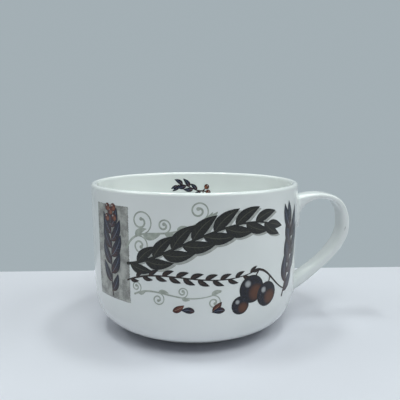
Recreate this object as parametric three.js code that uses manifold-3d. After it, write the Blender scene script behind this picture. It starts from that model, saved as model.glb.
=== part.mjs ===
// Porcelain coffee cup: a wide thrown bowl on a foot ring, a cast strap handle stuck on with slip,
// and printed transfers fired onto the glaze. Millimetres, +Z up, the handle points along +X.
import * as THREE from 'three';
import { mergeVertices } from 'three/addons/utils/BufferGeometryUtils.js';
import Module from 'manifold-3d';

const wasm = await Module();
wasm.setup();

// Bowl
const RIM_DIAMETER = 110;
const CUP_HEIGHT = 77.5;
const WALL = 3;
const WALL_TAPER_DEG = 0.7;
const SHOULDER_HEIGHT = 40;
const SHOULDER_FULLNESS = 0.67;
const UNDERSIDE_FULLNESS = 0.97;
const UNDERSIDE_SLOPE_DEG = 7;
const FLOOR = 4.2;
const FLOOR_FLAT_DIAMETER = 60;
const FLOOR_FULLNESS = 0.83;

// Foot ring
const FOOT_DIAMETER = 70;
const FOOT_WIDTH = 4;
const FOOT_HEIGHT = 2.6;
const FOOT_RECESS = 2.4;
const FOOT_EASE = 0.6;

// Handle: its centre line leaves the wall, passes its outermost point, the apex, and comes back to the wall
const HANDLE_PROJECTION = 30.4;
const HANDLE_WIDTH = 14;
const HANDLE_WIDTH_LOW = 10;
const CROWN_THICKNESS = 3.2;
const CROWN_SHARE = 0.4;
const APEX_THICKNESS = 4.7;
const LEG_SHARE = 0.5;
const ROOT_THICKNESS = 7.8;
const UPPER_JOINT_DROP = 10.2;
const UPPER_RISE_DEG = 12.5;
const UPPER_LEAN_DEG = 4;
const UPPER_PULL = 16.5;
const APEX_DROP = 25.3;
const APEX_PULL_UP = 18.2;
const APEX_PULL_DOWN = 14.4;
const LOWER_JOINT_HEIGHT = 17.6;
const LOWER_RISE_DEG = 38;
const LOWER_PULL = 11;
const UPPER_INNER_FILLET = 15;
const UPPER_OUTER_FILLET = 2;
const LOWER_INNER_FILLET = 5;
const LOWER_OUTER_FILLET = 0.8;
const UPPER_SIDE_FILLET = 2.5;
const LOWER_SIDE_FILLET = 1;
const ROOT_STUB = 9;

// Slip joints between the handle's ends and the wall
const SLIP_THICKNESS = 0.5;
const SLIP_BEAD = 0.3;
const SEAT_GAP = 0.05;

// Printed transfers. Places on a print are arcs along the wall from its middle, and heights from the rim.
const TRANSFER_FILM = 0.1;
const PANEL = { left: -60, right: -35, bottom: -53, top: -6.7 };
const BRANCH = {
  curve: [[-37, -33.5], [-18, -31.5], [6, -8.5], [32, -15]],
  stem: 1.4,
  leaves: 15,
  length: 15.5,
  slim: 0.38,
  spread: 42,
};
const GARLAND = {
  curve: [[-37, -41.5], [-16, -31.5], [0, -43.5], [24, -37]],
  stem: 0.8,
  leaves: 18,
  length: 6.2,
  slim: 0.38,
  spread: 45,
};
const FRUIT_STEM = { curve: [[24, -37], [32, -33.5], [36, -45.5], [46.5, -49.5]], stem: 1.2 };
const FRUITS = [[23.5, -45, 6.6], [32.5, -49, 6], [17.5, -52, 4.4]];
const FRUIT_STALKS = [[[27.5, -35.9], [24, -41.5]], [[34.5, -40.5], [33, -45.5]]];
const SPRAY = {
  curve: [[45, -53.5], [49, -41.5], [55, -30.5], [52, -18.5]],
  stem: 1.2,
  leaves: 8,
  length: 18,
  slim: 0.38,
  spread: 40,
};
const INNER_SPRIG = {
  curve: [[-9.5, -12], [-3, -13], [2, -6], [8, -8.5]],
  stem: 0.9,
  leaves: 7,
  length: 7.2,
  slim: 0.42,
  spread: 46,
};
const HIPS = [[-12, -9.3], [-13, -12.9], [-9.6, -15.1]];
const HIP_RADIUS = 1.7;
const STALK_WIDTH = 0.8;

// Leaves on a stem, as shares of a leaf's spacing, of its length and of the stem
const FIRST_LEAF = 0.6;
const LEAF_BELLY = 0.4;
const LEAF_BEND_DEG = 20;
const TIP_LEAF = 0.7;
const LEAF_SWELL = 0.4;
const SWELL_START = 0.15;
const SWELL_RUN = 0.75;

// Facets
const TURN_STEPS = 72;
const CURVE_STEPS = 8;
const STRAP_STEPS = 14;
const STRAP_SIDES = 20;
const LEAF_STEPS = 4;
const STEM_STEPS = 24;
const ROOT_CROWDING = 1.5;
const STRAP_SQUARENESS = 3;
const ROOT_SQUARENESS = 2.1;
const MERGE_DISTANCE = 1e-4;

const PORCELAIN = new THREE.MeshStandardMaterial({ color: 0xeef2f1, roughness: 0.12, metalness: 0 });
const FIRED_SLIP = new THREE.MeshStandardMaterial({ color: 0xf1f1ec, roughness: 0.2, metalness: 0 });
const PRINT_INK = new THREE.MeshStandardMaterial({ color: 0x8f948a, roughness: 0.2, metalness: 0 });

const point = (x, y) => new THREE.Vector2(x, y);
const radians = THREE.MathUtils.degToRad;
const lerp = THREE.MathUtils.lerp;

// Profile of the bowl, as radius and height
const rimRadius = RIM_DIAMETER / 2;
const footRadius = FOOT_DIAMETER / 2;
const footInner = footRadius - FOOT_WIDTH;
const floorHeight = FOOT_RECESS + FLOOR;
const floorFlat = FLOOR_FLAT_DIAMETER / 2;
const taper = radians(WALL_TAPER_DEG);
const slope = radians(UNDERSIDE_SLOPE_DEG);
const lip = point(rimRadius - WALL / 2, CUP_HEIGHT - WALL / 2);
const shoulderRadius = rimRadius - (lip.y - SHOULDER_HEIGHT) * Math.tan(taper);
const innerShoulderRadius = shoulderRadius - WALL;
const downWall = point(-Math.tan(taper), -1);
const upUnderside = point(1, Math.tan(slope));

const outerShoulder = new THREE.CubicBezierCurve(
  point(footRadius, FOOT_HEIGHT),
  point(footRadius, FOOT_HEIGHT)
    .addScaledVector(upUnderside, UNDERSIDE_FULLNESS * (shoulderRadius - footRadius)),
  point(shoulderRadius, SHOULDER_HEIGHT)
    .addScaledVector(downWall, SHOULDER_FULLNESS * (SHOULDER_HEIGHT - FOOT_HEIGHT)),
  point(shoulderRadius, SHOULDER_HEIGHT),
);
const innerShoulder = new THREE.CubicBezierCurve(
  point(innerShoulderRadius, SHOULDER_HEIGHT),
  point(innerShoulderRadius, SHOULDER_HEIGHT)
    .addScaledVector(downWall, SHOULDER_FULLNESS * (SHOULDER_HEIGHT - floorHeight)),
  point(lerp(floorFlat, innerShoulderRadius, FLOOR_FULLNESS), floorHeight),
  point(floorFlat, floorHeight),
);
const lipRound = new THREE.EllipseCurve(lip.x, lip.y, WALL / 2, WALL / 2, 0, Math.PI);

const outerWall = [...outerShoulder.getPoints(CURVE_STEPS), point(rimRadius, lip.y)];
const innerWall = [point(rimRadius - WALL, lip.y), ...innerShoulder.getPoints(CURVE_STEPS)];

// A solid of revolution from a profile that starts and ends on the axis
function turned(profile) {
  return new THREE.LatheGeometry(profile, TURN_STEPS).rotateX(Math.PI / 2);
}

function bowl() {
  const foot = [
    point(0, FOOT_RECESS),
    point(footInner - FOOT_EASE, FOOT_RECESS),
    point(footInner, FOOT_RECESS - FOOT_EASE),
    point(footInner, FOOT_EASE),
    point(footInner + FOOT_EASE, 0),
    point(footRadius - FOOT_EASE, 0),
    point(footRadius, FOOT_EASE),
  ];
  const lipPoints = lipRound.getPoints(CURVE_STEPS).slice(1, -1);
  return turned([...foot, ...outerWall, ...lipPoints, ...innerWall, point(0, floorHeight)]);
}

// The profile moved sideways: to its right as it runs, or to its left where the distance is negative
function offset(profile, distance) {
  return profile.map((p, i) => {
    const before = profile[Math.max(i - 1, 0)];
    const after = profile[Math.min(i + 1, profile.length - 1)];
    const along = after.clone().sub(before).normalize();
    return point(p.x + along.y * distance, p.y - along.x * distance);
  });
}

function outerRadius(height) {
  const i = outerWall.findIndex((p) => p.y > height);
  const [low, high] = [outerWall[i - 1], outerWall[i]];
  return lerp(low.x, high.x, (height - low.y) / (high.y - low.y));
}

// Solids for joining and cutting
function solidFrom(geometry) {
  const bare = geometry.clone();
  bare.deleteAttribute('normal');
  bare.deleteAttribute('uv');
  const merged = mergeVertices(bare, MERGE_DISTANCE);
  const corners = Array.from(merged.index.array);
  const triVerts = [];
  for (let i = 0; i < corners.length; i += 3) {
    const triangle = corners.slice(i, i + 3);
    if (new Set(triangle).size === 3) triVerts.push(...triangle);
  }
  return new wasm.Manifold(new wasm.Mesh({
    numProp: 3,
    vertProperties: new Float32Array(merged.attributes.position.array),
    triVerts: new Uint32Array(triVerts),
  }));
}

function geometryFrom(solid) {
  const { vertProperties, triVerts } = solid.getMesh();
  const geometry = new THREE.BufferGeometry();
  geometry.setAttribute('position', new THREE.BufferAttribute(vertProperties, 3));
  geometry.setIndex(new THREE.BufferAttribute(triVerts, 1));
  geometry.computeVertexNormals();
  return geometry;
}

// Everything inside the outer wall, grown outwards
function outside(growth) {
  const side = offset(outerWall, growth);
  return solidFrom(turned([point(0, side[0].y), ...side, point(0, side.at(-1).y)]));
}

// The space inside the cup, drawn in from the wall
function inside(shrinkage) {
  const side = offset(innerWall, shrinkage).reverse();
  return solidFrom(turned([point(0, side[0].y), ...side, point(0, side.at(-1).y)]));
}

// Extra half thickness of a concave fillet at a distance from the wall
function fillet(radius, distance) {
  const left = Math.max(radius - Math.max(distance, 0), 0);
  return radius - Math.sqrt(radius * radius - left * left);
}

// Stations along the handle from one wall joint to the other, closer together near the wall
function handleStations() {
  const upperHeight = CUP_HEIGHT - UPPER_JOINT_DROP;
  const upper = new THREE.Vector3(outerRadius(upperHeight), 0, upperHeight);
  const reach = rimRadius + HANDLE_PROJECTION;
  const apex = new THREE.Vector3(reach - APEX_THICKNESS / 2, 0, CUP_HEIGHT - APEX_DROP);
  const lower = new THREE.Vector3(outerRadius(LOWER_JOINT_HEIGHT), 0, LOWER_JOINT_HEIGHT);
  const rising = (degrees) => new THREE.Vector3(Math.cos(radians(degrees)), 0, Math.sin(radians(degrees)));
  const up = new THREE.Vector3(0, 0, 1);
  const upperArc = new THREE.CubicBezierCurve3(
    upper,
    upper.clone().addScaledVector(rising(UPPER_RISE_DEG), UPPER_PULL),
    apex.clone().addScaledVector(up, APEX_PULL_UP),
    apex,
  );
  const lowerArc = new THREE.CubicBezierCurve3(
    apex,
    apex.clone().addScaledVector(up, -APEX_PULL_DOWN),
    lower.clone().addScaledVector(rising(LOWER_RISE_DEG), LOWER_PULL),
    lower,
  );
  const stations = [];
  for (let i = 0; i <= STRAP_STEPS; i += 1) {
    const t = (i / STRAP_STEPS) ** ROOT_CROWDING;
    const fullness = THREE.MathUtils.smoothstep(t, CROWN_SHARE, 1);
    const thickness = lerp(CROWN_THICKNESS, APEX_THICKNESS, fullness);
    const width = HANDLE_WIDTH;
    stations.push({ centre: upperArc.getPoint(t), along: upperArc.getTangent(t), thickness, width });
  }
  for (let i = 1; i <= STRAP_STEPS; i += 1) {
    const t = 1 - (1 - i / STRAP_STEPS) ** ROOT_CROWDING;
    const fullness = THREE.MathUtils.smoothstep(t, LEG_SHARE, 1);
    const thickness = lerp(APEX_THICKNESS, ROOT_THICKNESS, fullness);
    const width = lerp(HANDLE_WIDTH, HANDLE_WIDTH_LOW, t);
    stations.push({ centre: lowerArc.getPoint(t), along: lowerArc.getTangent(t), thickness, width });
  }
  return withRoots(stations);
}

// A stub that reaches into the wall at each end, so that the wall can trim the strap to its own curve
function withRoots(stations) {
  const root = (station, depth) => ({
    ...station,
    centre: station.centre.clone().addScaledVector(station.along, depth),
  });
  const all = [root(stations[0], -ROOT_STUB), ...stations, root(stations.at(-1), ROOT_STUB)];
  let travelled = -ROOT_STUB;
  all.forEach((station, i) => {
    if (i > 0) travelled += station.centre.distanceTo(all[i - 1].centre);
    station.fromUpper = travelled;
  });
  const length = travelled - ROOT_STUB;
  all.forEach((station) => {
    station.fromLower = length - station.fromUpper;
  });
  return all;
}

// The strap through the stations: a rounded bar that flares into the wall at both ends
function strap(stations, growth) {
  const positions = [];
  const index = [];
  const side = new THREE.Vector3(0, 1, 0);
  stations.forEach(({ centre, along, thickness, width, fromUpper, fromLower }) => {
    const clearUpper = THREE.MathUtils.smoothstep(fromUpper, 0, UPPER_INNER_FILLET);
    const lean = lerp(radians(UPPER_LEAN_DEG), 0, clearUpper);
    const outwards = new THREE.Vector3(-along.z, 0, along.x).applyAxisAngle(side, lean);
    const innerFlare = fillet(UPPER_INNER_FILLET, fromUpper) + fillet(LOWER_INNER_FILLET, fromLower);
    const outerFlare = fillet(UPPER_OUTER_FILLET, fromUpper) + fillet(LOWER_OUTER_FILLET, fromLower);
    const sideFlare = fillet(UPPER_SIDE_FILLET, fromUpper) + fillet(LOWER_SIDE_FILLET, fromLower);
    const clear = THREE.MathUtils.smoothstep(Math.min(fromUpper, fromLower), 0, UPPER_INNER_FILLET);
    const squareness = lerp(ROOT_SQUARENESS, STRAP_SQUARENESS, clear);
    const rounded = (value) => Math.sign(value) * Math.abs(value) ** (2 / squareness);
    for (let k = 0; k < STRAP_SIDES; k += 1) {
      const angle = (2 * Math.PI * k) / STRAP_SIDES;
      const half = thickness / 2 + growth + (Math.cos(angle) > 0 ? outerFlare : innerFlare);
      const corner = centre.clone()
        .addScaledVector(outwards, half * rounded(Math.cos(angle)))
        .addScaledVector(side, (width / 2 + growth + sideFlare) * rounded(Math.sin(angle)));
      positions.push(...corner);
    }
  });
  for (let ring = 0; ring + 1 < stations.length; ring += 1) {
    for (let k = 0; k < STRAP_SIDES; k += 1) {
      const a = ring * STRAP_SIDES + k;
      const b = ring * STRAP_SIDES + ((k + 1) % STRAP_SIDES);
      index.push(a, a + STRAP_SIDES, b, b, a + STRAP_SIDES, b + STRAP_SIDES);
    }
  }
  const last = (stations.length - 1) * STRAP_SIDES;
  for (let k = 1; k + 1 < STRAP_SIDES; k += 1) {
    index.push(0, k, k + 1, last, last + k + 1, last + k);
  }
  const geometry = new THREE.BufferGeometry();
  geometry.setAttribute('position', new THREE.Float32BufferAttribute(positions, 3));
  geometry.setIndex(index);
  return solidFrom(geometry);
}

const stations = handleStations();
const slipOutside = SEAT_GAP + SLIP_THICKNESS;

function handle() {
  return geometryFrom(strap(stations, 0).subtract(outside(slipOutside + SEAT_GAP)));
}

// The layer of slip under one end of the handle, squeezed out a little all round it
function slipJoint(endStations) {
  const layer = outside(slipOutside).subtract(outside(SEAT_GAP));
  return geometryFrom(layer.intersect(strap(endStations, SLIP_BEAD)));
}

// A closed outline on a print, as a prism from the axis out through the front wall
function cutter(outline) {
  const onWall = (p) => point(shoulderRadius * Math.sin(p.x / shoulderRadius), CUP_HEIGHT + p.y);
  const shape = new THREE.Shape(outline.map(onWall));
  const block = new THREE.ExtrudeGeometry(shape, { depth: RIM_DIAMETER, bevelEnabled: false });
  return solidFrom(block.rotateX(Math.PI / 2));
}

// The spot at a distance and direction from another
function from(start, degrees, distance) {
  const direction = point(Math.cos(radians(degrees)), Math.sin(radians(degrees)));
  return start.clone().addScaledVector(direction, distance);
}

function leaf(root, degrees, length, slim, bend) {
  const middle = degrees + bend * LEAF_BELLY;
  const belly = from(root, middle, length * LEAF_BELLY);
  const tip = from(root, degrees + bend, length);
  const edge = (side) => {
    const bulge = from(belly, middle + side * 90, length * slim);
    return new THREE.QuadraticBezierCurve(root, bulge, tip).getPoints(LEAF_STEPS);
  };
  return cutter([...edge(-1), ...edge(1).slice(1, -1).reverse()]);
}

function stem(line, width) {
  return cutter([...offset(line, width / 2), ...offset(line, -width / 2).reverse()]);
}

function fruit(centre, radius) {
  const round = new THREE.EllipseCurve(centre.x, centre.y, radius, radius);
  return cutter(round.getPoints(2 * CURVE_STEPS).slice(0, -1));
}

function bezier(curve) {
  return new THREE.CubicBezierCurve(...curve.map((p) => point(...p)));
}

// A stem with leaves on both sides by turns, longest in the middle, and one at its tip
function sprig({ curve, stem: width, leaves, length, slim, spread }) {
  const line = bezier(curve);
  const heading = (t) => THREE.MathUtils.radToDeg(line.getTangent(t).angle());
  const parts = [stem(line.getPoints(STEM_STEPS), width)];
  for (let i = 0; i < leaves; i += 1) {
    const t = (i + FIRST_LEAF) / leaves;
    const side = i % 2 ? 1 : -1;
    const swell = Math.sin(Math.PI * (SWELL_START + (SWELL_RUN * i) / leaves));
    const size = length * (1 - LEAF_SWELL + LEAF_SWELL * swell);
    parts.push(leaf(line.getPoint(t), heading(t) + side * spread, size, slim, -side * LEAF_BEND_DEG));
  }
  return [...parts, leaf(line.getPoint(1), heading(1), length * TIP_LEAF, slim, 0)];
}

const joined = (parts) => parts.reduce((whole, part) => whole.add(part));

// The print outside: panel, branch, garland, fruit and a spray of long leaves, all one piece of film
function outerTransfer() {
  const panel = cutter([
    point(PANEL.left, PANEL.bottom),
    point(PANEL.right, PANEL.bottom),
    point(PANEL.right, PANEL.top),
    point(PANEL.left, PANEL.top),
  ]);
  const design = joined([
    panel,
    ...sprig(BRANCH),
    ...sprig(GARLAND),
    ...sprig(SPRAY),
    stem(bezier(FRUIT_STEM.curve).getPoints(STEM_STEPS), FRUIT_STEM.stem),
    ...FRUIT_STALKS.map((ends) => stem(ends.map((p) => point(...p)), STALK_WIDTH)),
    ...FRUITS.map(([s, z, radius]) => fruit(point(s, z), radius)),
  ]);
  const film = outside(SEAT_GAP + TRANSFER_FILM).subtract(outside(SEAT_GAP));
  return geometryFrom(film.intersect(design));
}

// The print inside: a sprig along the lip with rose hips on stalks at its root
function innerTransfer() {
  const root = point(...INNER_SPRIG.curve[0]);
  const hips = HIPS.map((p) => point(...p));
  const design = joined([
    ...sprig(INNER_SPRIG),
    ...hips.map((hip) => stem([root, hip], STALK_WIDTH)),
    ...hips.map((hip) => fruit(hip, HIP_RADIUS)),
  ]);
  const film = inside(SEAT_GAP).subtract(inside(SEAT_GAP + TRANSFER_FILM));
  return geometryFrom(film.intersect(design));
}

const cup = new THREE.Group();

function addPiece(name, geometry, material) {
  const piece = new THREE.Mesh(geometry, material);
  piece.name = name;
  cup.add(piece);
}

addPiece('bowl', bowl(), PORCELAIN);
addPiece('handle', handle(), PORCELAIN);
addPiece('upper_slip_joint', slipJoint(stations.slice(0, STRAP_STEPS)), FIRED_SLIP);
addPiece('lower_slip_joint', slipJoint(stations.slice(-STRAP_STEPS)), FIRED_SLIP);
addPiece('front_transfer', outerTransfer(), PRINT_INK);
addPiece('back_transfer', outerTransfer().rotateZ(Math.PI), PRINT_INK);
addPiece('inner_transfer', innerTransfer().rotateZ(Math.PI), PRINT_INK);

// The origin lies on the table under the middle of the whole cup, handle included
const box = new THREE.Box3().setFromObject(cup);
cup.position.set(-(box.min.x + box.max.x) / 2, -(box.min.y + box.max.y) / 2, -box.min.z);

export default cup;
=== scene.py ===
from math import atan2, cos, pi, radians, sin, sqrt

import bpy
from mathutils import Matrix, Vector
from mathutils.geometry import interpolate_bezier


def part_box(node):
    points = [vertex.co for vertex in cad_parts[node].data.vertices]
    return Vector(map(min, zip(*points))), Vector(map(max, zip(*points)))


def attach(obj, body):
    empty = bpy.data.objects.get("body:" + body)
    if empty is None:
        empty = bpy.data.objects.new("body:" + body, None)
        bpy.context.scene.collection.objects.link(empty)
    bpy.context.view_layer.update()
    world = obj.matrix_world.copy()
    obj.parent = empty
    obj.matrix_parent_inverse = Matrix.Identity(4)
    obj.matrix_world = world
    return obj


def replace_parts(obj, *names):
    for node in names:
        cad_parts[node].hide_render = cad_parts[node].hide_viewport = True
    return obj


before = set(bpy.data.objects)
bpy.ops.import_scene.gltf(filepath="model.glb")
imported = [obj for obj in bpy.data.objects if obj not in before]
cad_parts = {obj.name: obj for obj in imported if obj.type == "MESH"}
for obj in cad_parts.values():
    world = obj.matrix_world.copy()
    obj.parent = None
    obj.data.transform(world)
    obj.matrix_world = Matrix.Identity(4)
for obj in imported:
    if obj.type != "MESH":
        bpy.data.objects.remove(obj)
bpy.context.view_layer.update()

# The bowl: one piece of porcelain, thrown on a wheel, with its foot ring turned from the same clay.
# A clear glaze covers it all but the bottom of the foot ring, where it stood in the kiln.
bowl_low, bowl_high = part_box("bowl")
axis_x = (bowl_low.x + bowl_high.x) / 2
rim_radius = (bowl_high.x - bowl_low.x) / 2
cup_height = bowl_high.z
lip_wall = 0.003
wall_lean = 0.0122
shoulder_height = 0.040
shoulder_fullness = 0.67
underside_fullness = 0.97
underside_slope = 0.123
foot_radius = 0.035
foot_width = 0.004
foot_height = 0.0026
foot_recess = 0.0024
foot_ease = 0.0007
foot_upright = 0.6
floor_height = 0.0066
floor_flat = 0.030
floor_fullness = 0.83
turn_steps = 180
curve_points = 30
wall_steps = 12
flat_steps = 6
ease_steps = 5
lip_steps = 16
blend_end = 2
blend_points = 8
spin_weld = 1e-6

lip_centre = Vector((rim_radius - lip_wall / 2, cup_height - lip_wall / 2))
outer_lip = Vector((rim_radius, lip_centre.y))
inner_lip = outer_lip - Vector((lip_wall, 0))
shoulder = Vector((rim_radius - (lip_centre.y - shoulder_height) * wall_lean, shoulder_height))
inner_shoulder = shoulder - Vector((lip_wall, 0))
down_wall = Vector((-wall_lean, -1))
foot_top = Vector((foot_radius, foot_height))


def arc(centre, radius, start, end, steps):
    """Points on a round stretch of the profile, between two angles in degrees."""
    turns = [radians(start + (end - start) * i / steps) for i in range(steps + 1)]
    return [Vector((centre[0] + radius * cos(a), centre[1] + radius * sin(a))) for a in turns]


outer_wall = interpolate_bezier(
    foot_top,
    foot_top + Vector((1, underside_slope)) * underside_fullness * (shoulder.x - foot_radius),
    shoulder + down_wall * shoulder_fullness * (shoulder_height - foot_height),
    shoulder,
    curve_points,
)
inner_wall = interpolate_bezier(
    inner_shoulder,
    inner_shoulder + down_wall * shoulder_fullness * (shoulder_height - floor_height),
    Vector((floor_flat + (inner_shoulder.x - floor_flat) * floor_fullness, floor_height)),
    Vector((floor_flat, floor_height)),
    curve_points,
)
straight_wall = [shoulder.lerp(outer_lip, (i + 1) / wall_steps) for i in range(wall_steps)]
wall_points = outer_wall + straight_wall
foot_inner = foot_radius - foot_width
outer_foot = foot_radius - foot_ease
profile = [Vector((foot_inner * i / flat_steps, foot_recess)) for i in range(flat_steps)]
profile += arc((foot_inner - foot_ease, foot_recess - foot_ease), foot_ease, 90, 0, ease_steps)
profile += arc((foot_inner + foot_ease, foot_ease), foot_ease, 180, 270, ease_steps)
profile += arc((outer_foot, foot_ease), foot_ease, 270, 360, ease_steps)
profile += interpolate_bezier(
    Vector((foot_radius, foot_height * foot_upright)),
    Vector((foot_radius, foot_height)),
    foot_top,
    wall_points[blend_end],
    blend_points,
)
profile += wall_points[blend_end + 1:]
profile += arc(lip_centre, lip_wall / 2, 0, 180, lip_steps)[1:]
profile += [inner_lip.lerp(inner_shoulder, i / wall_steps) for i in range(1, wall_steps)]
profile += inner_wall
profile += [Vector((floor_flat * i / flat_steps, floor_height)) for i in reversed(range(flat_steps))]


def wheel_point(p):
    """A profile point, as radius and height, in the plane through the axis and the handle."""
    return Vector((axis_x + p[0], 0, p[1]))


bpy.ops.object.select_all(action="DESELECT")
bpy.ops.mesh.primitive_plane_add(size=foot_ease, location=wheel_point(profile[0]))
bowl = bpy.context.object
bowl.name = "bowl_glazed"
bpy.ops.object.transform_apply(location=True)
bpy.ops.object.mode_set(mode="EDIT")
bpy.ops.mesh.select_mode(type="VERT")
bpy.ops.mesh.merge(type="CENTER")
for here, there in zip(profile, profile[1:]):
    step = wheel_point(there) - wheel_point(here)
    bpy.ops.mesh.extrude_region_move(TRANSFORM_OT_translate={"value": step})
bpy.ops.mesh.select_all(action="SELECT")
bpy.ops.mesh.spin(steps=turn_steps, angle=2 * pi, center=(axis_x, 0, 0), axis=(0, 0, 1))
bpy.ops.mesh.select_all(action="SELECT")
bpy.ops.mesh.remove_doubles(threshold=spin_weld)
bpy.ops.mesh.normals_make_consistent(inside=False)
bpy.ops.object.mode_set(mode="OBJECT")
bpy.ops.object.shade_smooth()


class Finish:
    """A material and its node tree. node() adds a node of any type and returns one of its outputs."""

    def __init__(self, name):
        self.material = bpy.data.materials.new(name)
        self.material.use_nodes = True
        self.tree = self.material.node_tree
        self.shader = self.tree.nodes["Principled BSDF"]

    def node(self, kind, settings, inputs, output=0):
        made = self.tree.nodes.new(kind)
        for name, value in settings.items():
            setattr(made, name, value)
        for name, value in inputs.items():
            self.plug(made.inputs[name], value)
        return Socket(self, made.outputs[output])

    def plug(self, socket, value):
        if isinstance(value, Socket):
            self.tree.links.new(value.socket, socket)
        else:
            socket.default_value = value

    def place(self, kind="Object"):
        """Where a spot lies in the cup's own frame, or on the piece's UV map."""
        return self.node("ShaderNodeTexCoord", {}, {}, output=kind)

    def wear(self, inputs):
        """Sets or links the shader's own sockets."""
        for name, value in inputs.items():
            self.plug(self.shader.inputs[name], value)


class Socket:
    """A value in a material. Operators on it add Math nodes."""

    def __init__(self, finish, socket):
        self.finish = finish
        self.socket = socket

    def maths(self, operation, *others):
        inputs = dict(enumerate((self, *others)))
        return self.finish.node("ShaderNodeMath", {"operation": operation}, inputs)

    def __add__(self, other):
        return self.maths("ADD", other)

    def __sub__(self, other):
        return self.maths("SUBTRACT", other)

    def __rsub__(self, other):
        return self.finish.node("ShaderNodeMath", {"operation": "SUBTRACT"}, {0: other, 1: self})

    def __mul__(self, other):
        return self.maths("MULTIPLY", other)

    __radd__ = __add__
    __rmul__ = __mul__

    def axis(self, name):
        """One coordinate of a vector: X, Y or Z."""
        return self.finish.node("ShaderNodeSeparateXYZ", {}, {"Vector": self}, output=name)

    def step(self, low, high):
        """0 below low, 1 above high, and smooth between."""
        settings = {"interpolation_type": "SMOOTHSTEP"}
        return self.finish.node("ShaderNodeMapRange", settings, {0: self, 1: low, 2: high})


def mixed(finish, factor, low, high):
    """One colour turning into another."""
    settings = {"data_type": "RGBA"}
    return finish.node("ShaderNodeMix", settings, {0: factor, 6: low, 7: high}, output=2)


def noise(finish, place, scale, detail=3.0):
    return finish.node("ShaderNodeTexNoise", {}, {"Vector": place, "Scale": scale, "Detail": detail})


white_glaze = (0.905, 0.925, 0.918, 1)
deep_glaze = (0.875, 0.90, 0.892, 1)
bare_clay = (0.66, 0.64, 0.60, 1)
cloud_scale = 28.0
ripple_scale = 190.0
ripple_depth = 0.0004
ripple_strength = 0.02
grain_scale = 2600.0
bare_below = 0.0004
glazed_above = 0.0008
glaze_roughness = 0.07
cloud_roughness = 0.05
bare_roughness = 0.55


def glaze_over_clay(name, foot_bare):
    """Clear gloss over white clay: faintly uneven in tone, with the soft ripple of a fired glaze."""
    finish = Finish(name)
    place = finish.place()
    cloud = noise(finish, place, cloud_scale)
    ripple = noise(finish, place, ripple_scale, detail=1.0)
    colour = mixed(finish, cloud.step(0.35, 0.75), white_glaze, deep_glaze)
    roughness = glaze_roughness + cloud_roughness * cloud
    if foot_bare:
        grain = noise(finish, place, grain_scale, detail=2.0)
        bare = 1 - place.axis("Z").step(bare_below, glazed_above)
        worn = mixed(finish, grain.step(0.35, 0.7), bare_clay, white_glaze)
        colour = mixed(finish, bare, colour, worn)
        roughness = roughness + bare_roughness * bare
    wave = {"Height": ripple, "Strength": ripple_strength, "Distance": ripple_depth}
    bump = finish.node("ShaderNodeBump", {}, wave)
    finish.wear({"Base Color": colour, "Roughness": roughness, "Normal": bump, "IOR": 1.52})
    finish.wear({"Coat Weight": 0.4, "Coat Roughness": 0.05})
    return finish.material


bowl.data.materials.append(glaze_over_clay("bowl_glaze", foot_bare=True))
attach(bowl, "root")
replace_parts(bowl, "bowl")

# The handle: a strap of porcelain, slip-cast in a mould of its own with both ends flared.
# It is broad under the thumb, narrows down the lower leg, and is cut at both roots to fit the wall.
handle_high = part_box("handle")[1]
handle_reach = handle_high.x - axis_x
strap_width = 0.014
strap_width_low = 0.010
crown_thickness = 0.0032
crown_share = 0.4
apex_thickness = 0.0047
leg_share = 0.5
root_thickness = 0.0078
upper_height = cup_height - 0.0102
upper_rise = radians(12.5)
upper_lean = radians(4)
upper_pull = 0.0165
apex_height = cup_height - 0.0253
apex_pull_up = 0.0182
apex_pull_down = 0.0144
lower_height = 0.0176
lower_rise = radians(38)
lower_pull = 0.011
upper_inner_fillet = 0.015
upper_outer_fillet = 0.002
lower_inner_fillet = 0.005
lower_outer_fillet = 0.0008
upper_side_fillet = 0.0025
lower_side_fillet = 0.001
strap_squareness = 3.6
root_squareness = 2.1
root_stub = 0.0115
root_depth = 0.0001
arc_stations = 64
stub_stations = 24
station_crowding = 2.2
strap_rows = 160
strap_sides = 64
strap_crease = radians(60)
weld_distance = 1e-7


def radius_at(points, height):
    """The radius of a wall at a height. Its profile points run upwards."""
    for low, high in zip(points, points[1:]):
        if height <= high.y:
            return low.x + (high.x - low.x) * (height - low.y) / (high.y - low.y)
    return points[-1].x


def wall_radius(height):
    """Outer radius of the bowl at a height."""
    return radius_at(wall_points, height)


def smooth(value, low, high):
    share = min(max((value - low) / (high - low), 0), 1)
    return share * share * (3 - 2 * share)


def between(low, high, share):
    return low + (high - low) * share


def fillet(radius, distance):
    """Extra half thickness of a concave fillet, at a distance from the wall."""
    remaining = max(radius - max(distance, 0), 0)
    return radius - sqrt(radius * radius - remaining * remaining)


def cubic(curve, t):
    """The spot and the direction at t on a curve with four control points."""
    a, b, c, d = (Vector(p) for p in curve)
    spot = (1 - t) ** 3 * a + 3 * (1 - t) ** 2 * t * b + 3 * (1 - t) * t * t * c + t ** 3 * d
    along = (1 - t) ** 2 * (b - a) + 2 * (1 - t) * t * (c - b) + t * t * (d - c)
    return spot, along.normalized()


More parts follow.
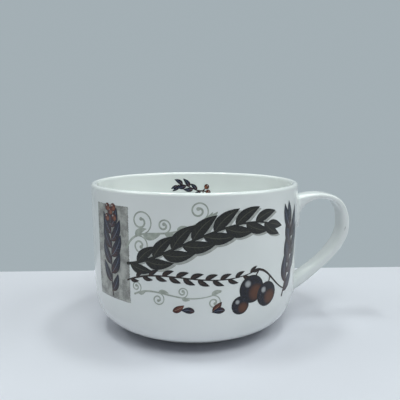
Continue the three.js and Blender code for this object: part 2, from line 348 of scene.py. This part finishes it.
def strap_stations():
    """Centre, direction, thickness, width and distance to both roots, from stub to stub in the wall."""
    upper = Vector((wall_radius(upper_height), upper_height))
    apex = Vector((handle_reach - apex_thickness / 2, apex_height))
    lower = Vector((wall_radius(lower_height), lower_height))
    up = Vector((0, 1))
    from_upper = upper + Vector((cos(upper_rise), sin(upper_rise))) * upper_pull
    from_lower = lower + Vector((cos(lower_rise), sin(lower_rise))) * lower_pull
    upper_arc = (upper, from_upper, apex + up * apex_pull_up, apex)
    lower_arc = (apex, apex - up * apex_pull_down, from_lower, lower)
    stations = []
    for i in range(arc_stations):
        t = (i / arc_stations) ** station_crowding
        thickness = between(crown_thickness, apex_thickness, smooth(t, crown_share, 1))
        stations.append((*cubic(upper_arc, t), thickness, strap_width))
    for i in range(arc_stations + 1):
        t = 1 - (1 - i / arc_stations) ** station_crowding
        thickness = between(apex_thickness, root_thickness, smooth(t, leg_share, 1))
        stations.append((*cubic(lower_arc, t), thickness, between(strap_width, strap_width_low, t)))

    def stub(station, depth):
        centre, along, *size = station
        return (centre + along * depth, along, *size)

    depths = [root_stub * i / stub_stations for i in range(1, stub_stations + 1)]
    before = [stub(stations[0], -depth) for depth in reversed(depths)]
    stations = before + stations + [stub(stations[-1], depth) for depth in depths]
    travelled = [-root_stub]
    for (a, *_), (b, *_) in zip(stations, stations[1:]):
        travelled.append(travelled[-1] + (b - a).length)
    length = travelled[-1] - root_stub
    return [(*station, d, length - d) for station, d in zip(stations, travelled)]


def skin_spot(station, turn):
    """A spot of the strap's skin, from the cup's axis: turn goes once round the section."""
    centre, along, thickness, width, from_upper, from_lower = station
    lean = upper_lean * (1 - smooth(from_upper, 0, upper_inner_fillet))
    x, z = -along.y, along.x
    outwards = Vector((x * cos(lean) + z * sin(lean), z * cos(lean) - x * sin(lean)))
    clear = smooth(min(from_upper, from_lower), 0, upper_inner_fillet)
    power = 2 / between(root_squareness, strap_squareness, clear)
    across, edge = cos(turn), sin(turn)
    if across > 0:
        flare = fillet(upper_outer_fillet, from_upper) + fillet(lower_outer_fillet, from_lower)
    else:
        flare = fillet(upper_inner_fillet, from_upper) + fillet(lower_inner_fillet, from_lower)
    side = width / 2 + fillet(upper_side_fillet, from_upper) + fillet(lower_side_fillet, from_lower)
    half = (thickness / 2 + flare) * abs(across) ** power * (1 if across > 0 else -1)
    spot = centre + outwards * half
    return Vector((spot.x, side * abs(edge) ** power * (1 if edge > 0 else -1), spot.y))


strap_line = strap_stations()
strap_turns = [2 * pi * k / strap_sides for k in range(strap_sides)]
skin_lines = [[skin_spot(station, turn) for station in strap_line] for turn in strap_turns]


def on_line(line, place):
    """The spot at a place on a line of spots, between two of them."""
    i = min(int(place), len(line) - 2)
    return line[i].lerp(line[i + 1], place - i)


def clear_of_wall(line, depth):
    """Where a line of the skin leaves the wall and where it comes back, at a depth in the wall."""
    stand = [sqrt(spot.x ** 2 + spot.y ** 2) - wall_radius(spot.z) + depth for spot in line]
    out = [i for i, height in enumerate(stand) if height > 0]
    first, last = out[0], out[-1]
    start = first - stand[first] / (stand[first] - stand[first - 1])
    end = last + stand[last] / (stand[last] - stand[last + 1])
    return start, end


def rolled_grid(name, steps_u, steps_v, place):
    """A flat grid whose every point is moved to its place on a surface, with its edges left open."""
    bpy.ops.object.select_all(action="DESELECT")
    bpy.ops.mesh.primitive_grid_add(x_subdivisions=steps_u, y_subdivisions=steps_v, size=1)
    piece = bpy.context.object
    piece.name = name
    for vertex in piece.data.vertices:
        vertex.co = place(vertex.co.x + 0.5, vertex.co.y + 0.5)
    return piece


trims = [clear_of_wall(line, root_depth) for line in skin_lines]


def strap_spot(u, v):
    """A spot of the trimmed skin: u runs from root to root, v once round the section."""
    k = round(v * strap_sides) % strap_sides
    return on_line(skin_lines[k], between(*trims[k], u)) + Vector((axis_x, 0, 0))


handle = rolled_grid("handle_glazed", strap_rows, strap_sides, strap_spot)
bpy.ops.object.mode_set(mode="EDIT")
bpy.ops.mesh.select_all(action="SELECT")
bpy.ops.mesh.remove_doubles(threshold=weld_distance)
bpy.ops.mesh.select_all(action="DESELECT")
bpy.ops.mesh.select_non_manifold()
bpy.ops.mesh.edge_face_add()
bpy.ops.mesh.select_all(action="SELECT")
bpy.ops.mesh.normals_make_consistent(inside=False)
bpy.ops.object.mode_set(mode="OBJECT")
bpy.ops.object.shade_smooth_by_angle(angle=strap_crease)
handle.data.materials.append(glaze_over_clay("handle_glaze", foot_bare=False))
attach(handle, "root")
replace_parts(handle, "handle")

# The upper slip joint: a thread of liquid clay that glued the handle's upper root to the bowl.
# It was wiped with a damp brush and glazed over, so only a small soft hollow shows round the root.
cove_reach = 0.0012
cove_sink = 0.00003
cove_rows = 10
cove_crease = radians(40)
walk_step = 0.05
slope_reach = 0.0005


def wall_normal(spot):
    """Straight out of the wall at a spot."""
    above = wall_radius(spot.z + slope_reach)
    below = wall_radius(spot.z - slope_reach)
    slope = (above - below) / (2 * slope_reach)
    return Vector((spot.x, spot.y, -slope * sqrt(spot.x ** 2 + spot.y ** 2))).normalized()


def onto_wall(spot, depth):
    """The spot of the wall at the same height and on the same side, at a depth in it."""
    scale = (wall_radius(spot.z) - depth) / sqrt(spot.x ** 2 + spot.y ** 2)
    return Vector((spot.x * scale, spot.y * scale, spot.z))


def up_skin(line, place, step):
    """The spot on a line of the skin that is the hollow's reach away from the wall."""
    foot = on_line(line, place)
    while (on_line(line, place) - foot).length < cove_reach:
        place += step
    return on_line(line, place)


def root_cove(name, root):
    """Slip in the corner between the skin and the wall, hollow outside, all round root 0 or root 1."""
    places = [clear_of_wall(line, 0)[root] for line in skin_lines]
    corners = [on_line(line, place) for line, place in zip(skin_lines, places)]
    middle = sum(corners, Vector()) / strap_sides
    sections = []
    for k, corner in enumerate(corners):
        ahead = corners[(k + 1) % strap_sides] - corners[k - 1]
        away = ahead.cross(wall_normal(corner)).normalized()
        if away.dot(corner - middle) < 0:
            away.negate()
        on_wall = onto_wall(corner + away * cove_reach, cove_sink)
        on_skin = up_skin(skin_lines[k], places[k], -walk_step if root else walk_step)
        hollow = []
        for i in range(cove_rows + 1):
            t = i / cove_rows
            hollow.append((1 - t) ** 2 * on_wall + 2 * t * (1 - t) * corner + t * t * on_skin)
        sections.append([*hollow, onto_wall(corner, root_depth), on_wall])

    def spot(u, v):
        section = sections[round(u * strap_sides) % strap_sides]
        return section[round(v * (cove_rows + 2))] + Vector((axis_x, 0, 0))

    cove = rolled_grid(name, strap_sides, cove_rows + 2, spot)
    bpy.ops.object.mode_set(mode="EDIT")
    bpy.ops.mesh.select_all(action="SELECT")
    bpy.ops.mesh.remove_doubles(threshold=weld_distance)
    bpy.ops.mesh.normals_make_consistent(inside=False)
    bpy.ops.object.mode_set(mode="OBJECT")
    bpy.ops.object.shade_smooth_by_angle(angle=cove_crease)
    cove.data.materials.append(glaze_over_clay(name + "_glaze", foot_bare=False))
    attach(cove, "root")
    return cove


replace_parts(root_cove("upper_cove", 0), "upper_slip_joint")

# The lower slip joint: the same thread of liquid clay round the narrower lower root.
# It holds the end of the leg, and was wiped and glazed over like the upper one.
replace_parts(root_cove("lower_cove", 1), "lower_slip_joint")

# The front print: a transfer of fired inks laid on the glaze, glossy and barely raised.
# A mottled panel and a tall sprig stand at the left, a dark leafy branch sweeps across the middle with a
# small garland under it, fruit hangs low, and a spray of long leaves climbs towards the handle.
print_lift = 0.000012
layer_step = 0.000015
order_step = 0.0000025
order_count = 6
panel_layer = 0
scroll_layer = 1
leaf_layer = 3
stalk_layer = 4
fruit_layer = 5
ink_film = 0.000002
ink_crease = radians(30)
fine_step = 0.0008
curve_steps = 48
wrap_radius = shoulder.x
panel_left = -0.060
panel_right = -0.035
panel_bottom = 0.0245
panel_top = 0.0708
panel_columns = 36
panel_rows = 48
leaf_rows = 12
leaf_sides = 10
leaf_belly = 0.75
leaf_tip = 0.9
leaf_bend = radians(20)
first_leaf = 0.6
least_leaf = 0.6
swell_start = 0.15
swell_span = 0.75
tip_leaf = 0.7
side_veins = 8
vein_slant = 1.6
vein_strength = 0.35
shade_offset = Vector((0.0010, -0.0009))
stalk_steps = 6
stalk_width = 0.0008
stalk_end = 0.0006
fruit_sides = 64
fruit_rings = 4
curl_turns = 1.45
curl_closing = 0.8
curl_start = 0.5
curl_end = 0.9
curl_knob = 0.75
bract_turn = 0.7
bract_length = 1.5
bract_slim = 0.4
bract_bend = 0.6
hip_radius = 0.0019


def on_front(s, z, lift):
    """A spot of the print on the outside wall: s along the wall from the middle, z up."""
    radius = wall_radius(z) + lift
    return Vector((axis_x + radius * sin(s / wrap_radius), -radius * cos(s / wrap_radius), z))


def fired(finish, colour, wash):
    """Ink under a thin flux gloss, a shade less even than the glaze beside it."""
    finish.wear({"Base Color": colour, "Roughness": 0.10 + 0.12 * wash, "IOR": 1.45})
    return finish.material


def strip(finish):
    """How far along a patch of ink a spot is, and how far off its middle line."""
    along = finish.place("UV")
    return along.axis("X"), along.axis("Y")


def leaf_ink(name, root, tip, deep, vein):
    """A leaf's wash from root to tip, deeper at the edges, with a pale rib and side veins."""
    finish = Finish(name)
    place = finish.place()
    u, v = strip(finish)
    off_rib = 2 * (v - 0.5).maths("ABSOLUTE")
    wash = noise(finish, place, 700.0, detail=4.0)
    slant = (u * side_veins - off_rib * vein_slant).maths("FRACT") - 0.5
    side = 1 - slant.maths("ABSOLUTE").step(0.0, 0.12)
    rib = 1 - off_rib.step(0.02, 0.10)
    lines = rib.maths("MAXIMUM", vein_strength * side * (1 - off_rib.step(0.5, 0.9)))
    tone = mixed(finish, u.step(0.0, 0.6), root, tip)
    tone = mixed(finish, wash.step(0.38, 0.72), tone, deep)
    tone = mixed(finish, 0.8 * off_rib.step(0.7, 1.0), tone, deep)
    tone = mixed(finish, lines * (1 - u.step(0.7, 1.0)), tone, vein)
    return fired(finish, tone, wash)


def wash_ink(name, pale, dark, scale, ragged=False):
    """A plain pale wash, blotted where the screen printed thin, and ragged at its edges if asked."""
    finish = Finish(name)
    place = finish.place()
    blot = noise(finish, place, scale, detail=5.0)
    fine = noise(finish, place, scale * 6, detail=2.0)
    tone = mixed(finish, (0.7 * blot + 0.3 * fine).step(0.36, 0.62), pale, dark)
    if ragged:
        u, v = strip(finish)
        inset_u = 0.5 - (u - 0.5).maths("ABSOLUTE")
        inset_v = 0.5 - (v - 0.5).maths("ABSOLUTE")
        inset = inset_u.maths("MINIMUM", 1.7 * inset_v)
        finish.wear({"Alpha": (inset - 0.03 * fine).step(0.0, 0.02)})
    return fired(finish, tone, fine)


def fruit_ink(name, colour, deep, glow, shine):
    """A round fruit: a warm glow low at one side, a deep rim and a small pale shine."""
    finish = Finish(name)
    place = finish.place()
    u, reach = strip(finish)
    wash = noise(finish, place, 900.0)
    turn = 2 * pi * u
    across = reach * turn.maths("COSINE")
    up = reach * turn.maths("SINE")

    def spot(x, y, size):
        away = (across - x) * (across - x) + (up - y) * (up - y)
        return 1 - away.step(0.0, size * size)

    tone = mixed(finish, wash.step(0.35, 0.7), colour, deep)
    tone = mixed(finish, 0.85 * spot(0.35, -0.3, 0.75), tone, glow)
    tone = mixed(finish, reach.step(0.82, 1.0), tone, deep)
    tone = mixed(finish, 0.8 * spot(-0.35, 0.4, 0.3), tone, shine)
    return fired(finish, tone, wash)


black = (0.005, 0.006, 0.009, 1)
navy_leaf = leaf_ink(
    "navy_leaf",
    root=(0.070, 0.020, 0.012, 1),
    tip=(0.007, 0.011, 0.038, 1),
    deep=black,
    vein=(0.15, 0.17, 0.24, 1),
)
olive_leaf = leaf_ink(
    "olive_leaf",
    root=(0.020, 0.020, 0.014, 1),
    tip=(0.014, 0.015, 0.011, 1),
    deep=black,
    vein=(0.075, 0.075, 0.055, 1),
)
brown_leaf = leaf_ink(
    "brown_leaf",
    root=(0.034, 0.016, 0.011, 1),
    tip=(0.014, 0.009, 0.009, 1),
    deep=black,
    vein=(0.09, 0.045, 0.03, 1),
)
red_leaf = leaf_ink(
    "red_leaf",
    root=(0.060, 0.014, 0.010, 1),
    tip=(0.15, 0.042, 0.026, 1),
    deep=(0.03, 0.008, 0.007, 1),
    vein=(0.42, 0.22, 0.15, 1),
)
shade_wash = wash_ink("shade_wash", pale=(0.50, 0.51, 0.48, 1), dark=(0.40, 0.41, 0.39, 1), scale=500.0)
scroll_wash = wash_ink("scroll_wash", pale=(0.52, 0.55, 0.50, 1), dark=(0.38, 0.41, 0.36, 1), scale=500.0)
panel_wash = wash_ink(
    "panel_wash",
    pale=(0.52, 0.52, 0.49, 1),
    dark=(0.27, 0.27, 0.255, 1),
    scale=260.0,
    ragged=True,
)
plum = fruit_ink(
    "plum",
    colour=(0.014, 0.014, 0.028, 1),
    deep=black,
    glow=(0.14, 0.050, 0.022, 1),
    shine=(0.55, 0.56, 0.58, 1),
)
hip = fruit_ink(
    "hip",
    colour=(0.13, 0.030, 0.020, 1),
    deep=(0.040, 0.010, 0.010, 1),
    glow=(0.28, 0.10, 0.05, 1),
    shine=(0.70, 0.62, 0.58, 1),
)


class Print:
    """The patches of one transfer, laid on one wall of the bowl and joined when it is complete."""

    def __init__(self, wall):
        self.wall = wall
        self.pieces = []

    def patch(self, material, layer, steps_u, steps_v, spot):
        """One patch of ink: spot gives (s, z) for u along it and v across it. Neighbours differ in lift."""
        lift = print_lift + layer * layer_step + len(self.pieces) % order_count * order_step
        piece = rolled_grid("ink", steps_u, steps_v, lambda u, v: self.wall(*spot(u, v), lift))
        piece.data.materials.append(material)
        self.pieces.append(piece)

    def leaf(self, material, layer, root, angle, length, slim, bend):
        """A pointed leaf from its root, with a midrib that bends along its length."""

        def spot(u, v):
            ahead = Vector((cos(angle + bend * u), sin(angle + bend * u)))
            half = length * slim * sin(pi * u ** leaf_belly) ** leaf_tip * (v - 0.5)
            return Vector(root) + length * u * ahead + half * Vector((-ahead.y, ahead.x))

        self.patch(material, layer, leaf_rows + round(length / fine_step), leaf_sides, spot)

    def line(self, material, layer, points, start, end):
        """A drawn line through the points, from one width to another."""
        steps = len(points) - 1

        def spot(u, v):
            i = round(u * steps)
            ahead = (points[min(i + 1, steps)] - points[max(i - 1, 0)]).normalized()
            return points[i] + Vector((-ahead.y, ahead.x)) * between(start, end, u) * (v - 0.5)

        self.patch(material, layer, steps, 2, spot)

    def stem(self, material, layer, curve, width):
        """A line along a curve, half as wide at its tip."""
        points = [cubic(curve, i / curve_steps)[0] for i in range(curve_steps + 1)]
        self.line(material, layer, points, width, width / 2)

    def stalk(self, material, layer, top, end):
        """A short straight line that carries a fruit."""
        points = [Vector(top).lerp(Vector(end), i / stalk_steps) for i in range(stalk_steps + 1)]
        self.line(material, layer, points, stalk_width, stalk_end)

    def fruit(self, material, layer, centre, radius):
        """A round fruit: u goes once round it and v out from its middle."""

        def spot(u, v):
            return Vector(centre) + radius * v * Vector((cos(2 * pi * u), sin(2 * pi * u)))

        self.patch(material, layer, fruit_sides, fruit_rings + round(radius / fine_step), spot)

    def sprig(self, material, layer, curve, width, leaves, length, slim, spread, shade=None):
        """A stem with leaves on both sides by turns, longest in the middle, and one at its tip."""
        self.stem(material, layer, curve, width)
        for i in range(leaves):
            root, ahead = cubic(curve, (i + first_leaf) / leaves)
            side = 1 if i % 2 else -1
            angle = atan2(ahead.y, ahead.x) + side * spread
            swell = sin(pi * (swell_start + swell_span * i / leaves))
            size = length * between(least_leaf, 1, swell)
            if shade:
                self.leaf(shade, layer - 1, root + shade_offset, angle, size, slim, -side * leaf_bend)
            self.leaf(material, layer + 1, root, angle, size, slim, -side * leaf_bend)
        root, ahead = cubic(curve, 1)
        self.leaf(material, layer + 1, root, atan2(ahead.y, ahead.x), length * tip_leaf, slim, 0)

    def flourish(self, material, layer, curve, width, curls):
        """A scrolling stem. Each curl leaves it beside a small leaf and winds in to a knob."""
        self.stem(material, layer, curve, width)
        for share, radius, side in curls:
            root, ahead = cubic(curve, share)
            out = Vector((-ahead.y, ahead.x)) * side
            begin = atan2(-out.y, -out.x)
            wind = []
            for i in range(curve_steps + 1):
                turn = begin + side * 2 * pi * curl_turns * i / curve_steps
                reach = radius * (1 - curl_closing * i / curve_steps)
                wind.append(root + out * radius + reach * Vector((cos(turn), sin(turn))))
            self.line(material, layer, wind, width * curl_start, width * curl_end)
            self.fruit(material, layer, wind[-1], width * curl_knob)
            angle = atan2(ahead.y, ahead.x) - side * bract_turn
            self.leaf(material, layer, root, angle, radius * bract_length, bract_slim, side * bract_bend)

    def join(self, name):
        """All patches as one piece, each given the thickness of the ink film."""
        bpy.ops.object.select_all(action="DESELECT")
        for piece in self.pieces:
            piece.select_set(True)
        bpy.context.view_layer.objects.active = self.pieces[0]
        bpy.ops.object.join()
        whole = bpy.context.object
        whole.name = name
        bpy.ops.object.mode_set(mode="EDIT")
        bpy.ops.mesh.select_all(action="SELECT")
        bpy.ops.mesh.remove_doubles(threshold=weld_distance)
        bpy.ops.object.mode_set(mode="OBJECT")
        bpy.ops.object.modifier_add(type="SOLIDIFY")
        whole.modifiers["Solidify"].thickness = ink_film
        bpy.ops.object.modifier_apply(modifier="Solidify")
        bpy.ops.object.mode_set(mode="EDIT")
        bpy.ops.mesh.select_all(action="SELECT")
        bpy.ops.mesh.normals_make_consistent(inside=False)
        bpy.ops.object.mode_set(mode="OBJECT")
        bpy.ops.object.shade_smooth_by_angle(angle=ink_crease)
        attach(whole, "root")
        return whole


def panel_spot(u, v):
    return between(panel_left, panel_right, u), between(panel_bottom, panel_top, v)


upper_scroll = [(-0.037, 0.051), (-0.030, 0.066), (-0.016, 0.052), (0.004, 0.069)]
upper_curls = [
    (0.22, 0.0046, -1),
    (0.34, 0.0058, 1),
    (0.60, 0.0034, 1),
    (0.72, 0.0036, -1),
    (0.94, 0.0044, 1),
]
lower_scroll = [(-0.033, 0.0300), (-0.020, 0.0375), (-0.010, 0.0250), (0.008, 0.0330)]
lower_curls = [(0.06, 0.0028, 1), (0.34, 0.0032, -1), (0.62, 0.0026, 1), (0.92, 0.0034, -1)]
tall_sprig = [(-0.0475, 0.026), (-0.0485, 0.040), (-0.0465, 0.052), (-0.0475, 0.061)]
branch = [(-0.037, 0.044), (-0.018, 0.046), (0.006, 0.069), (0.032, 0.0625)]
garland = [(-0.037, 0.036), (-0.016, 0.046), (0.000, 0.034), (0.024, 0.0405)]
fruit_stem = [(0.024, 0.0405), (0.032, 0.044), (0.036, 0.032), (0.0465, 0.028)]
spray = [(0.045, 0.024), (0.049, 0.036), (0.055, 0.047), (0.052, 0.059)]
plum_stalks = [((0.0275, 0.0416), (0.0240, 0.0360)), ((0.0345, 0.0370), (0.0330, 0.0320))]
plums = [((0.0175, 0.0255), 0.0044), ((0.0325, 0.0285), 0.0060), ((0.0235, 0.0325), 0.0066)]
hips = [(-0.0475, 0.0672), (-0.0502, 0.0640), (-0.0448, 0.0645), (-0.0496, 0.0690), (-0.0452, 0.0692)]
loose_leaves = [
    (red_leaf, -0.014, 15),
    (navy_leaf, -0.004, 160),
    (red_leaf, 0.004, 30),
    (navy_leaf, 0.010, 170),
]
loose_height = 0.024
loose_length = 0.0062
loose_slim = 0.5
loose_bend = 0.25

front = Print(on_front)
front.patch(panel_wash, panel_layer, panel_columns, panel_rows, panel_spot)
front.flourish(scroll_wash, scroll_layer, upper_scroll, 0.0011, upper_curls)
front.flourish(scroll_wash, scroll_layer, lower_scroll, 0.0009, lower_curls)
front.sprig(
    navy_leaf, leaf_layer, tall_sprig, width=0.0010, leaves=9, length=0.0130, slim=0.42, spread=radians(50)
)
front.sprig(
    olive_leaf,
    leaf_layer,
    branch,
    width=0.0014,
    leaves=15,
    length=0.0155,
    slim=0.38,
    spread=radians(42),
    shade=shade_wash,
)
front.sprig(
    brown_leaf, leaf_layer, garland, width=0.0008, leaves=18, length=0.0062, slim=0.38, spread=radians(45)
)
front.sprig(
    navy_leaf, leaf_layer, spray, width=0.0012, leaves=8, length=0.0180, slim=0.38, spread=radians(40)
)
front.stem(brown_leaf, leaf_layer, fruit_stem, 0.0012)
for top, foot in plum_stalks:
    front.stalk(brown_leaf, stalk_layer, top, foot)
for centre, radius in plums:
    front.fruit(plum, fruit_layer, centre, radius)
for centre in hips:
    front.fruit(hip, fruit_layer, centre, hip_radius)
for ink, s, degrees in loose_leaves:
    front.leaf(ink, leaf_layer, (s, loose_height), radians(degrees), loose_length, loose_slim, loose_bend)
front_print = front.join("front_print")

# The back print: the same transfer, laid on the opposite side of the wall and fired with the front one.
# It is copied while the front print stands for no solid yet, so that each stands for its own alone.
bpy.ops.object.select_all(action="DESELECT")
front_print.select_set(True)
bpy.context.view_layer.objects.active = front_print
bpy.ops.object.duplicate()
back_print = bpy.context.object
back_print.name = "back_print"
bpy.ops.object.mode_set(mode="EDIT")
bpy.ops.mesh.select_all(action="SELECT")
bpy.ops.transform.rotate(value=pi, orient_axis="Z", center_override=(axis_x, 0, 0))
bpy.ops.object.mode_set(mode="OBJECT")
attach(back_print, "root")
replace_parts(front_print, "front_transfer")
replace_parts(back_print, "back_transfer")

# The inner print: a short sprig with three hips inside the far wall, just under the lip.
# It is a small transfer of the same inks, laid on the glaze by hand and fired with the others.
inner_hip_radius = 0.0017
inner_hips = [(-0.012, 0.0682), (-0.013, 0.0646), (-0.0096, 0.0624)]
inner_sprig = [(-0.0095, 0.0655), (-0.003, 0.0645), (0.002, 0.0715), (0.008, 0.069)]
inner_points = [*reversed(inner_wall), inner_lip]


def on_inside(s, z, lift):
    """A spot on the inside of the far wall: s runs to the left, seen from the middle of the cup."""
    radius = radius_at(inner_points, z) - lift
    return Vector((axis_x - radius * sin(s / wrap_radius), radius * cos(s / wrap_radius), z))


inner = Print(on_inside)
inner.sprig(
    navy_leaf, leaf_layer, inner_sprig, width=0.0009, leaves=7, length=0.0072, slim=0.42, spread=radians(46)
)
for centre in inner_hips:
    inner.stalk(brown_leaf, stalk_layer, inner_sprig[0], centre)
    inner.fruit(hip, fruit_layer, centre, inner_hip_radius)
inner_print = inner.join("inner_print")
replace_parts(inner_print, "inner_transfer")

# The table: a plain pale board, painted matt, whose far edge lies a hand's width behind the cup.
# It only carries the cup and its shadow, and is no part of it.
table_back = 0.096
table_size = (1.2, 0.6, 0.02)
table_turn = radians(2.2)
table_edge = 0.0015
table_grey = (0.72, 0.72, 0.78, 1)
table_pale = (0.76, 0.755, 0.82, 1)
table_cloud_scale = 9.0
bpy.ops.object.select_all(action="DESELECT")
bpy.ops.mesh.primitive_cube_add(size=1)
table = bpy.context.object
table.name = "table_board"
bpy.ops.object.mode_set(mode="EDIT")
bpy.ops.mesh.select_all(action="SELECT")
bpy.ops.transform.resize(value=table_size)
bpy.ops.transform.translate(value=(axis_x, table_back - table_size[1] / 2, -table_size[2] / 2))
bpy.ops.transform.rotate(value=table_turn, orient_axis="Z", center_override=(axis_x, 0, 0))
bpy.ops.mesh.bevel(offset=table_edge, segments=3, affect="EDGES")
bpy.ops.object.mode_set(mode="OBJECT")
table_finish = Finish("pale_table")
table_cloud = noise(table_finish, table_finish.place(), table_cloud_scale)
table_colour = mixed(table_finish, table_cloud, table_grey, table_pale)
table_finish.wear({"Base Color": table_colour, "Roughness": 0.6, "Specular IOR Level": 0.2})
table.data.materials.append(table_finish.material)

# The light: a broad soft lamp high in front, two small steep ones that give the shadow at each side,
# and wide fills at both sides and behind. The world is a plain grey wall that casts almost no light.
lamp_colour = (0.92, 1.0, 0.985)
lamp_shape = 0.7
cup_middle = Vector((axis_x, 0, 0.04))
lamps = {
    "front_lamp": ((0.05, -0.52, 0.89), 0.5, 3.1),
    "right_lamp": ((0.27, 0, 1.0), 0.18, 1.8),
    "left_lamp": ((-0.27, 0, 1.0), 0.18, 1.7),
    "right_fill": ((0.66, -0.2, 0.78), 0.6, 2.8),
    "left_fill": ((-0.7, 0, 0.78), 0.6, 2.0),
    "back_fill": ((0, 0.7, 0.78), 0.6, 1.7),
}
sky_colour = (0.86, 0.93, 1.0, 1)
sky_strength = 0.02
wall_grey = (0.37, 0.43, 0.46, 1)
world = bpy.data.worlds.new("studio")
bpy.context.scene.world = world
world.use_nodes = True
tree = world.node_tree
lit = tree.nodes["Background"]
lit.inputs["Color"].default_value = sky_colour
lit.inputs["Strength"].default_value = sky_strength
seen = tree.nodes.new("ShaderNodeBackground")
seen.inputs["Color"].default_value = wall_grey
seen.inputs["Strength"].default_value = 1.0
path = tree.nodes.new("ShaderNodeLightPath")
choose = tree.nodes.new("ShaderNodeMixShader")
sight = None
for kind in ("Is Camera Ray", "Is Glossy Ray", "Is Transmission Ray"):
    either = tree.nodes.new("ShaderNodeMath")
    either.operation = "MAXIMUM"
    either.inputs[1].default_value = 0
    tree.links.new(path.outputs[kind], either.inputs[0])
    if sight:
        tree.links.new(sight, either.inputs[1])
    sight = either.outputs[0]
tree.links.new(sight, choose.inputs[0])
tree.links.new(lit.outputs[0], choose.inputs[1])
tree.links.new(seen.outputs[0], choose.inputs[2])
tree.links.new(choose.outputs[0], tree.nodes["World Output"].inputs["Surface"])


def soft_lamp(name, place, width, power):
    """A soft rectangular lamp that faces the cup. Its place is measured from the foot of the cup's axis."""
    spot = Vector((axis_x, 0, 0)) + Vector(place)
    bpy.ops.object.select_all(action="DESELECT")
    bpy.ops.object.light_add(type="AREA", location=spot)
    lamp = bpy.context.object
    lamp.name = name
    lamp.data.shape = "RECTANGLE"
    lamp.data.size = width
    lamp.data.size_y = width * lamp_shape
    lamp.data.energy = power
    lamp.data.color = lamp_colour
    lamp.rotation_euler = (cup_middle - spot).to_track_quat("-Z", "Y").to_euler()


for lamp_name, (lamp_place, lamp_width, lamp_power) in lamps.items():
    soft_lamp(lamp_name, lamp_place, lamp_width, lamp_power)

# The camera: close in front of the cup, a little above the rim and a few degrees round from square-on.
# It looks down a little, so that the cup stands in the lower half of the picture.
camera_turn = radians(4)
camera_distance = 0.2592
camera_height = 0.10384
camera_pitch = 0.142
camera_yaw = 0.011
frame_pixels = 400
focal_pixels = 480
sensor_width = 36
bpy.ops.object.camera_add(
    location=(
        axis_x - camera_distance * sin(camera_turn),
        -camera_distance * cos(camera_turn),
        camera_height,
    ),
    rotation=(pi / 2 - camera_pitch, 0, -camera_turn - camera_yaw),
)
camera = bpy.context.object
camera.name = "photo_camera"
camera.data.sensor_width = sensor_width
camera.data.lens = focal_pixels / frame_pixels * sensor_width
camera.data.clip_start = 0.01
bpy.context.scene.camera = camera
bpy.context.scene.view_settings.view_transform = "Standard"
